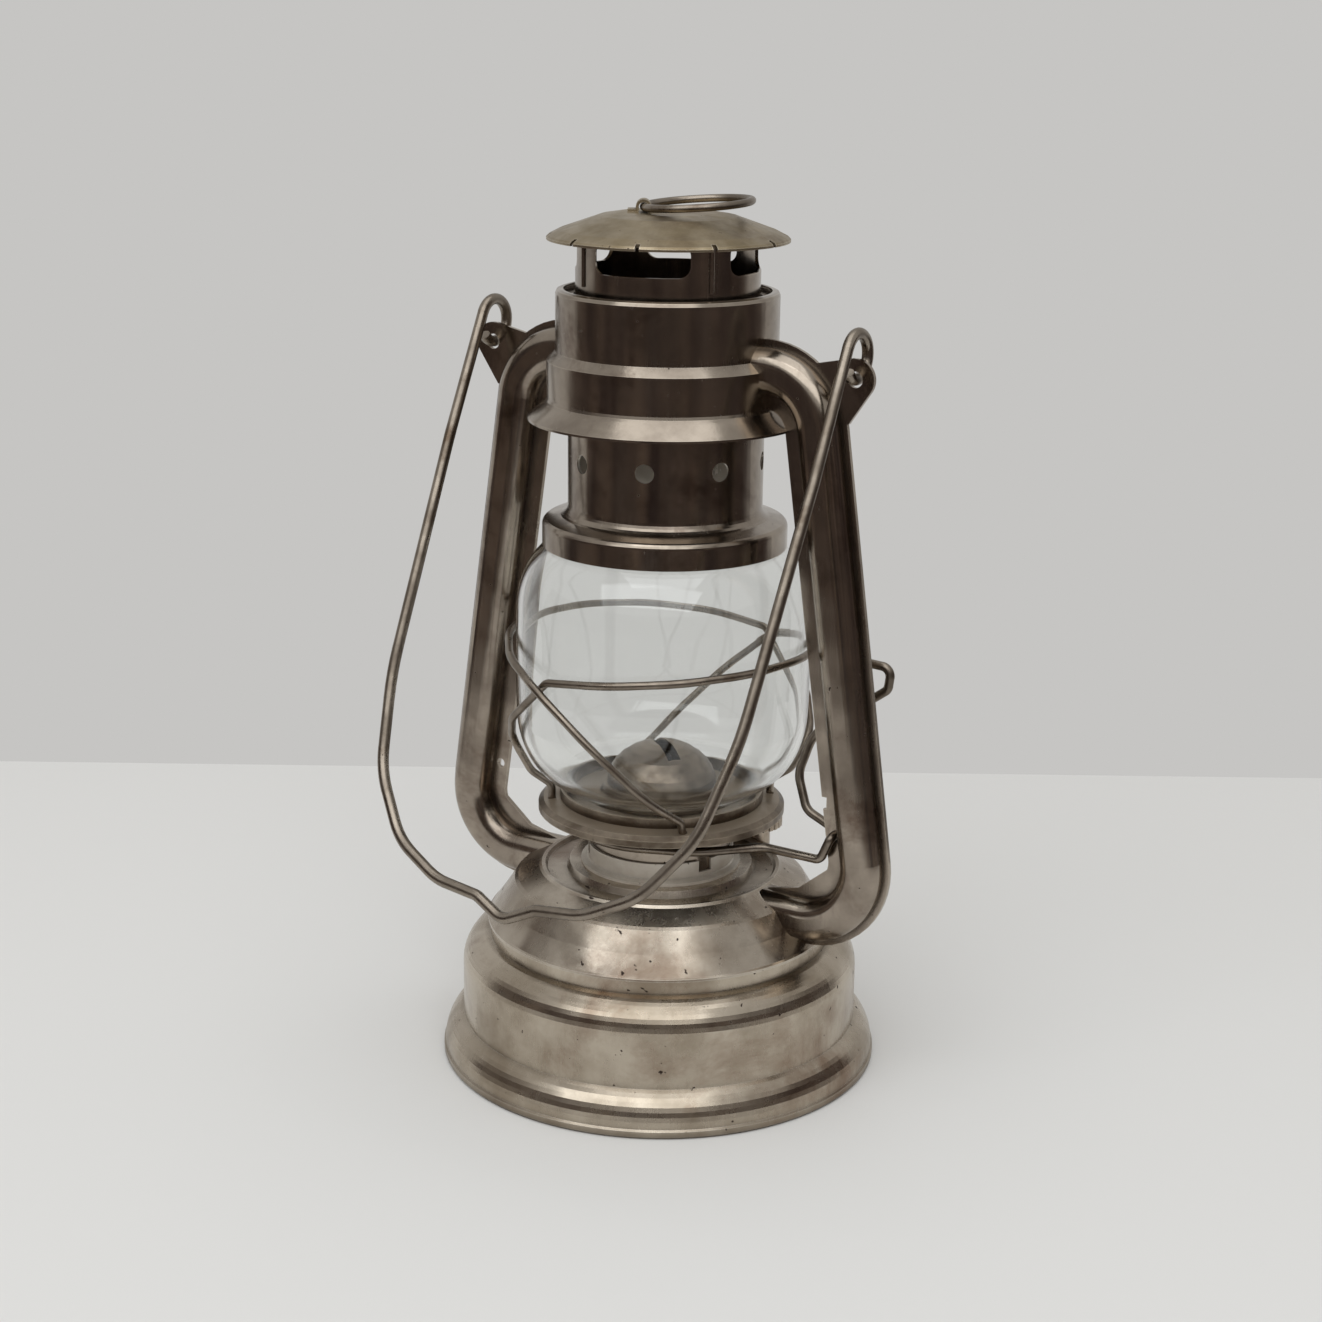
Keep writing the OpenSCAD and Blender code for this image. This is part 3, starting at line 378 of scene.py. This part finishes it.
# Oil-swollen rubber washer: near black, soft sheen, a dusty bloom in fine specks
def oilRubber(name, look):
    made, tree, out = startMaterial(name)
    place = addNode(tree, "ShaderNodeTexCoord").outputs["Object"]
    bloom = addNode(tree, "ShaderNodeTexNoise", values={"Scale": perMetre(look["bloomMm"]), "Detail": 6.0},
                    feeds={"Vector": place})
    tone = addNode(tree, "ShaderNodeValToRGB", feeds={"Fac": bloom.outputs["Fac"]}, stops=[
        (look["bloomFrom"], linear(look["black"])), (look["bloomTo"], linear(look["dusty"]))])
    bump = addNode(tree, "ShaderNodeBump", values={"Strength": 0.4, "Distance": look["bloomDeep"]},
                   feeds={"Height": bloom.outputs["Fac"]})
    skin = addNode(tree, "ShaderNodeBsdfPrincipled", values={"Roughness": 0.6},
                   feeds={"Base Color": tone.outputs["Color"], "Normal": bump.outputs["Normal"]})
    tree.links.new(skin.outputs["BSDF"], out.inputs["Surface"])
    return made


gasketRubber = oilRubber("oilRubber", {
    "black": "#191614", "dusty": "#4a423a", "bloomMm": 1.2,
    "bloomFrom": 0.4, "bloomTo": 0.75, "bloomDeep": 0.0001})

for finish, names in (
        (wornPlate, ("tank_shell", "filler_neck", "filler_cap")),
        (brownedPlate, ("dome",)),
        # burner_body takes this darker tarnished finish as painted shade, for the shadow under the globe
        # plate and lever
        (tarnishedPlate, ("tank_bottom", "tank_deck", "burner_body", "plate_sleeve", "right_tube_front",
                          "right_tube_back", "left_tube_front", "left_tube_back", "hood_drum", "hood_lid",
                          "chimney_crown")),
        (paintedLightInsidePlate, ("chimney_bell",)),
        (dullPlate, ("cap", "ring_staple")),
        (heatedPlate, ("globe_plate", "burner_cone")),
        (paintedSheenSatinPlate, ("burner_collar",)),
        (brightPlate, ("wick_tube", "wick_spindle", "wick_knob")),
        (wirePlate, ("guard_wire_a", "guard_wire_b", "bail", "lift_lever", "ring")),
        (gasketRubber, ("filler_gasket",))):
    for name in names:
        node[name].data.materials.clear()
        node[name].data.materials.append(finish)
print("finishes set")

mergeGap = 0.00001    # metres, points nearer than this are one


def startEdit():
    bpy.ops.object.mode_set(mode="EDIT")
    bpy.ops.mesh.select_all(action="SELECT")


def endEdit():
    bpy.ops.object.mode_set(mode="OBJECT")


# Selects the vertices of the active mesh, or its faces, whose middle passes a test, and stays in edit mode
def pick(made, kind, test):
    bpy.ops.object.mode_set(mode="EDIT")
    bpy.ops.mesh.select_mode(type=kind)
    bpy.ops.mesh.select_all(action="DESELECT")
    bpy.ops.object.mode_set(mode="OBJECT")
    for part in {"VERT": made.data.vertices, "FACE": made.data.polygons}[kind]:
        part.select = test(part.co if kind == "VERT" else part.center)
    bpy.ops.object.mode_set(mode="EDIT")


def applyModifier(made, kind, settings):
    added = made.modifiers.new(kind.lower(), kind)
    for name, value in settings.items():
        setattr(added, name, value)
    bpy.ops.object.modifier_apply(modifier=added.name)


def finishPiece(made, finish, body, nodeName, smooth):
    bpy.ops.object.transform_apply(location=True, rotation=True, scale=True)
    bpy.ops.object.shade_smooth_by_angle(angle=math.radians(smooth))
    made.data.materials.clear()
    made.data.materials.append(finish)
    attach(made, body)
    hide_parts(nodeName)
    print(made.name, "made with", len(made.data.polygons), "faces")


# Globe: a barrel of blown glass, drawn ring by ring up its outside, then given its wall
globeGlass = {
    "side": 0.0415, "swell": 0.0002, "sideSteps": 8, "foot": 0.0272, "footLow": 0.0772, "footHigh": 0.081,
    # steps out and up from the foot's top, and from the shoulder's end
    "footBend": ((0.0, -0.0006), (0.0001, 0.0), (0.0005, 0.0007), (0.0011, 0.0012)),
    "neckBend": ((-0.0003, 0.0006), (-0.0004, 0.0014)),
    "lowIn": 0.016, "lowMid": 0.104, "lowTall": 0.022, "lowTurns": range(14, 88, 5),
    "highIn": 0.018, "highMid": 0.133, "highTall": 0.021939, "highTurns": range(5, 61, 5),
    "lipHigh": 0.158, "wall": 0.0018, "rim": 0.0006, "rimAngle": 60, "around": 128,
}


def globeOutline(g):
    line = [(g["foot"], g["footLow"])] + [(g["foot"] + out, g["footHigh"] + up) for out, up in g["footBend"]]
    for a in map(math.radians, g["lowTurns"]):
        line.append((g["side"] - g["lowIn"] * (1 - math.sin(a)), g["lowMid"] - g["lowTall"] * math.cos(a)))
    tall = g["highMid"] - g["lowMid"]
    for k in range(g["sideSteps"] + 1):
        share = k / g["sideSteps"]
        line.append((g["side"] + g["swell"] * math.sin(math.pi * share), g["lowMid"] + tall * share))
    for a in map(math.radians, g["highTurns"]):
        line.append((g["side"] - g["highIn"] * (1 - math.cos(a)), g["highMid"] + g["highTall"] * math.sin(a)))
    r, z = line[-1]
    line += [(r + out, z + up) for out, up in g["neckBend"]]
    return line + [(line[-1][0], g["lipHigh"])]


def blowGlobe(g):
    bpy.ops.object.select_all(action="DESELECT")
    line = globeOutline(g)
    bpy.ops.mesh.primitive_circle_add(vertices=g["around"], radius=line[0][0], fill_type="NOTHING",
                                      location=(0, 0, line[0][1]))
    made = bpy.context.object
    made.name = "globeGlass"
    startEdit()
    for (r0, z0), (r1, z1) in zip(line, line[1:]):
        bpy.ops.mesh.extrude_edges_move(TRANSFORM_OT_translate={"value": (0, 0, z1 - z0)})
        bpy.ops.transform.resize(value=(r1 / r0, r1 / r0, 1.0), center_override=(0, 0, z1))
    bpy.ops.mesh.select_all(action="SELECT")
    bpy.ops.mesh.remove_doubles(threshold=mergeGap)
    bpy.ops.mesh.normals_make_consistent(inside=False)
    endEdit()
    applyModifier(made, "SOLIDIFY", {"thickness": g["wall"], "offset": -1.0, "use_even_offset": True})
    applyModifier(made, "BEVEL", {"width": g["rim"], "segments": 3, "limit_method": "ANGLE",
                                  "angle_limit": math.radians(g["rimAngle"])})
    made.visible_shadow = False    # lamps shine through clear glass
    return made


finishPiece(blowGlobe(globeGlass), clearGlass, "carriage", "globe", smooth=50)

# Wick: a flat tape of ribbed cotton, ragged at its burnt end
wickTape = {
    "wide": 0.01, "thick": 0.0024, "low": 0.016, "high": 0.0907, "turn": 143, "ribs": 8, "ribDeep": 0.00022,
    "cuts": (0.03, 0.045, 0.06, 0.075, 0.083, 0.0865, 0.0885, 0.0898), "near": 0.0001,
    "ragged": 0.0007, "raggedTurn": 2.4, "endTall": 0.0004, "edge": 0.0001, "edgeAngle": 50,
    "cream": "#cdbf9f", "singed": "#5a4530", "char": "#14100d", "singedAt": 0.45, "charAt": 0.8,
    "burnFrom": 0.0845, "burnTo": 0.0905, "burnRagged": 0.002,
    "threadMm": 0.7, "fibreMm": 0.5, "weaveShade": 0.55, "weaveDeep": 0.0002,
}


def weaveWick(w):
    bpy.ops.object.select_all(action="DESELECT")
    heart = (0, 0, (w["low"] + w["high"]) / 2)
    bpy.ops.mesh.primitive_cube_add(size=1.0, location=heart)
    made = bpy.context.object
    made.name = "wickTape"
    startEdit()
    bpy.ops.transform.resize(value=(w["wide"], w["thick"], w["high"] - w["low"]), center_override=heart)
    step = w["wide"] / w["ribs"] / 2
    for k in range(1, 2 * w["ribs"]):
        bpy.ops.mesh.select_all(action="SELECT")
        bpy.ops.mesh.bisect(plane_co=(-w["wide"] / 2 + step * k, 0, 0), plane_no=(1, 0, 0))
    for z in w["cuts"]:
        bpy.ops.mesh.select_all(action="SELECT")
        bpy.ops.mesh.bisect(plane_co=(0, 0, z), plane_no=(0, 0, 1))
    endEdit()
    bpy.ops.object.transform_apply(location=True)
    for k in range(2 * w["ribs"] + 1):
        x = -w["wide"] / 2 + step * k
        if k % 2 == 0:    # a groove between two ribs
            for face in (-1, 1):
                pick(made, "VERT", lambda p: abs(p.x - x) < w["near"] and p.y * face > 0)
                bpy.ops.transform.translate(value=(0, -face * w["ribDeep"], 0))
        pick(made, "VERT", lambda p: abs(p.x - x) < w["near"] and p.z > w["high"] - w["endTall"])
        burnt = w["ragged"] * (0.5 + 0.5 * math.sin(k * w["raggedTurn"]))
        bpy.ops.transform.translate(value=(0, 0, -burnt))
    endEdit()
    applyModifier(made, "BEVEL", {"width": w["edge"], "segments": 1, "limit_method": "ANGLE",
                                  "angle_limit": math.radians(w["edgeAngle"])})
    made.rotation_euler = (0, 0, math.radians(w["turn"]))
    return made


finishPiece(weaveWick(wickTape), wovenCotton("wovenCotton", wickTape), "wick", "wick", smooth=40)

# Chimney spring: four turns of round wire between the chimney's flange and the hood's lid, wound as two
# halves, since raising the globe closes the upper half and raising the chimney closes the lower one
springWire = {
    "wire": 0.0012, "round": 0.0261, "low": 0.1908, "middle": 0.2053, "high": 0.2198, "turns": 2, "sides": 12,
    "steps": 40, "globeTravel": 0.008, "chimneyTravel": 0.006,
}


def windSpring(name, low, high, s):
    bpy.ops.object.select_all(action="DESELECT")
    bpy.ops.mesh.primitive_circle_add(vertices=s["sides"], radius=s["wire"] / 2, fill_type="NGON",
                                      location=(s["round"], 0, low), rotation=(math.pi / 2, 0, 0))
    made = bpy.context.object
    made.name = name
    bpy.ops.object.transform_apply(location=True, rotation=True)
    applyModifier(made, "SCREW", {
        "axis": "Z", "angle": 2 * math.pi, "screw_offset": (high - low) / s["turns"],
        "iterations": s["turns"], "steps": s["steps"], "render_steps": s["steps"],
        "use_merge_vertices": True})
    startEdit()
    bpy.ops.mesh.remove_doubles(threshold=mergeGap)
    bpy.ops.mesh.fill_holes(sides=s["sides"])
    bpy.ops.mesh.normals_make_consistent(inside=False)
    endEdit()
    return made


lowEnd, middle, highEnd = springWire["low"], springWire["middle"], springWire["high"]
upperCoil = windSpring("springUpper", middle, highEnd - springWire["wire"] / 2, springWire)
finishPiece(upperCoil, wirePlate, "frame", "chimney_spring", smooth=60)
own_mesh(upperCoil)
lowerCoil = windSpring("springLower", lowEnd + springWire["wire"] / 2, middle, springWire)
finishPiece(lowerCoil, wirePlate, "carriage", "chimney_spring", smooth=60)
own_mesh(lowerCoil)

# Pale floor that ends a little behind the lantern, a pale surround, wide lamps high in front and overhead,
# and a dark screen that only gloss sees
studio = {
    "floor": "#e3e2e0", "floorRough": 0.9, "behind": 0.25, "front": 0.9, "half": 1.6, "surround": "#c6c5c3",
    "lampTint": "#fafdff", "lampAim": 0.1,
    "lamps": {
        "frontLamp": {"watts": 6.2, "wide": 1.7, "tall": 0.75, "away": 1.25, "rise": 47.0, "turn": -15.0},
        "topLamp": {"watts": 4.0, "wide": 1.05, "tall": 1.1, "away": 1.3, "rise": 84.0, "turn": 0.0}},
    "screen": {"foot": 0.37, "top": 0.62, "tall": 0.34, "half": 107.0, "turn": 3.0, "around": 96,
               "deep": "#35292a", "pale": "#7d6e64", "foldMm": 110, "drape": 0.25,
               "foldFrom": 0.38, "foldTo": 0.7},
}


# Matt pale paint
def mattPaint(name, colour, roughness):
    made, tree, out = startMaterial(name)
    skin = addNode(tree, "ShaderNodeBsdfPrincipled", values={"Base Color": colour, "Roughness": roughness})
    tree.links.new(skin.outputs["BSDF"], out.inputs["Surface"])
    return made


def layFloor(s):
    bpy.ops.object.select_all(action="DESELECT")
    centre = level * (s["behind"] - s["front"]) / 2
    bpy.ops.mesh.primitive_plane_add(size=1.0, location=centre,
                                     rotation=(0, 0, math.radians(shot["azimuth"])))
    made = bpy.context.object
    made.name = "floor"
    made.scale = (2 * s["half"], s["behind"] + s["front"], 1.0)
    bpy.ops.object.transform_apply(location=True, rotation=True, scale=True)
    made.data.materials.append(mattPaint("paleFloor", linear(s["floor"]), s["floorRough"]))


# Matt dark cloth hung in soft folds
def foldedCloth(s):
    made, tree, out = startMaterial("foldedDarkCloth")
    place = addNode(tree, "ShaderNodeTexCoord").outputs["Object"]
    hung = addNode(tree, "ShaderNodeMapping", values={"Scale": (1.0, 1.0, s["drape"])},
                   feeds={"Vector": place})
    fold = addNode(tree, "ShaderNodeTexNoise", values={"Scale": perMetre(s["foldMm"]), "Detail": 2.0},
                   feeds={"Vector": hung.outputs["Vector"]})
    tone = addNode(tree, "ShaderNodeValToRGB", feeds={"Fac": fold.outputs["Fac"]},
                   stops=[(s["foldFrom"], linear(s["deep"])), (s["foldTo"], linear(s["pale"]))])
    skin = addNode(tree, "ShaderNodeBsdfPrincipled", values={"Roughness": 1.0},
                   feeds={"Base Color": tone.outputs["Color"]})
    tree.links.new(skin.outputs["BSDF"], out.inputs["Surface"])
    return made


# The direction that turns by an angle to the right of the way back to the camera
def toCamera(angle):
    return -level * math.cos(angle) + side * math.sin(angle)


def standScreen(s):
    bpy.ops.object.select_all(action="DESELECT")
    bpy.ops.mesh.primitive_cone_add(vertices=s["around"], radius1=s["foot"], radius2=s["top"],
                                    depth=s["tall"], end_fill_type="NOTHING", location=(0, 0, s["tall"] / 2))
    made = bpy.context.object
    made.name = "darkScreen"
    bpy.ops.object.transform_apply(location=True)
    edge, faced = math.cos(math.radians(s["half"])), toCamera(math.radians(s["turn"]))
    pick(made, "FACE", lambda p: Vector((p.x, p.y, 0)).normalized().dot(faced) < edge)
    bpy.ops.mesh.delete(type="FACE")
    endEdit()
    made.data.materials.append(foldedCloth(s))
    made.visible_camera = made.visible_diffuse = made.visible_shadow = made.visible_transmission = False


def hangLamp(name, s, tint, aim):
    data = bpy.data.lights.new(name, "AREA")
    data.shape = "RECTANGLE"
    data.color = tint
    data.size, data.size_y, data.energy = s["wide"], s["tall"], s["watts"]
    made = bpy.data.objects.new(name, data)
    bpy.context.collection.objects.link(made)
    rise, turn = math.radians(s["rise"]), math.radians(s["turn"])
    toward = toCamera(turn) * math.cos(rise) + Vector((0, 0, math.sin(rise)))
    made.location = Vector((0, 0, aim)) + toward * s["away"]
    made.rotation_euler = (-toward).to_track_quat("-Z", "Y").to_euler()


layFloor(studio)
standScreen(studio["screen"])
for name, lamp in studio["lamps"].items():
    hangLamp(name, lamp, linear(studio["lampTint"])[:3], studio["lampAim"])
world = bpy.data.worlds.new("paleSurround")
world.use_nodes = True
world.node_tree.nodes["Background"].inputs["Color"].default_value = linear(studio["surround"])
bpy.context.scene.world = world
bpy.context.scene.view_settings.view_transform = "Standard"
print("studio lit")
